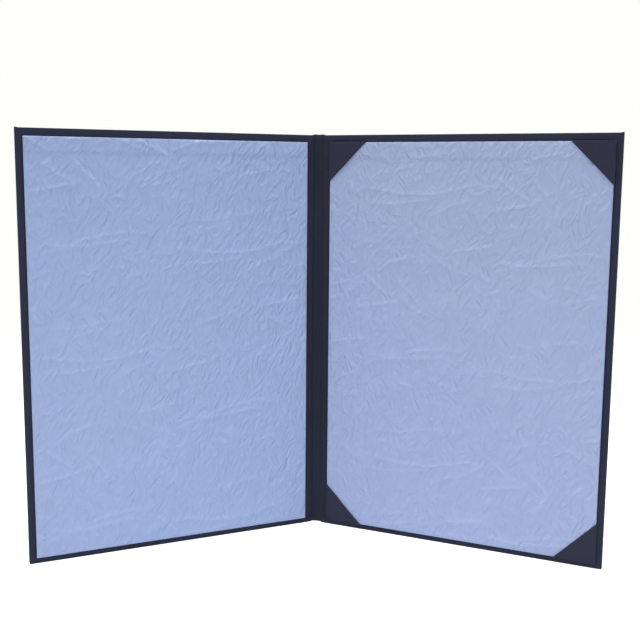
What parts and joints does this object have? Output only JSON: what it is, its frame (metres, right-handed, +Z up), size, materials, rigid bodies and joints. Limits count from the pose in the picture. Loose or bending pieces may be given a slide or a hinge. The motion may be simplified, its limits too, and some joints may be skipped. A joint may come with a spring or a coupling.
{
  "type": "diploma cover",
  "caption": "Two-leaf cloth-covered diploma cover standing open like a book, with crumpled paper linings and cloth corner pockets on one leaf.",
  "frame": {"origin": "under the middle of the open cover's bounding box, on the surface it stands on", "axes": "+Z up along the spine, +Y towards the back of the spine, the open side faces -Y, +X towards the cover with the corner pockets"},
  "size_m": [0.4144, 0.0988, 0.3105],
  "materials": {
    "navy_cloth": "fine-woven navy book cloth, matt",
    "pocket_cloth": "fine-woven navy cloth, matt",
    "blue_paper": "light blue crumpled paper with a faint sheen",
    "grey_board": "raw grey board",
    "white_card": "plain white card"
  },
  "bodies": {
    "back_cover": {"back_board": "grey_board", "back_cover_cloth": "navy_cloth", "back_joint_strip": "navy_cloth", "back_lining_card": "white_card", "back_lining_paper": "blue_paper", "pocket_head_fore": "pocket_cloth", "pocket_head_spine": "pocket_cloth", "pocket_tail_fore": "pocket_cloth", "pocket_tail_spine": "pocket_cloth"},
    "spine": {"spine_cloth": "navy_cloth", "spine_joint_strip": "navy_cloth"},
    "front_cover": {"front_board": "grey_board", "front_cover_cloth": "navy_cloth", "front_joint_strip": "navy_cloth", "front_lining_card": "white_card", "front_lining_paper": "blue_paper"}
  },
  "joints": [
    {"name": "back_joint", "type": "hinge", "parent": "back_cover", "child": "spine", "pos_m": [0.00484, 0.04749, 0.155], "axis": [0, 0, 1], "range_deg": [-16, 74]},
    {"name": "front_joint", "type": "hinge", "parent": "spine", "child": "front_cover", "pos_m": [-0.00484, 0.04903, 0.155], "axis": [0, 0, 1], "range_deg": [-34, 56]}
  ]
}
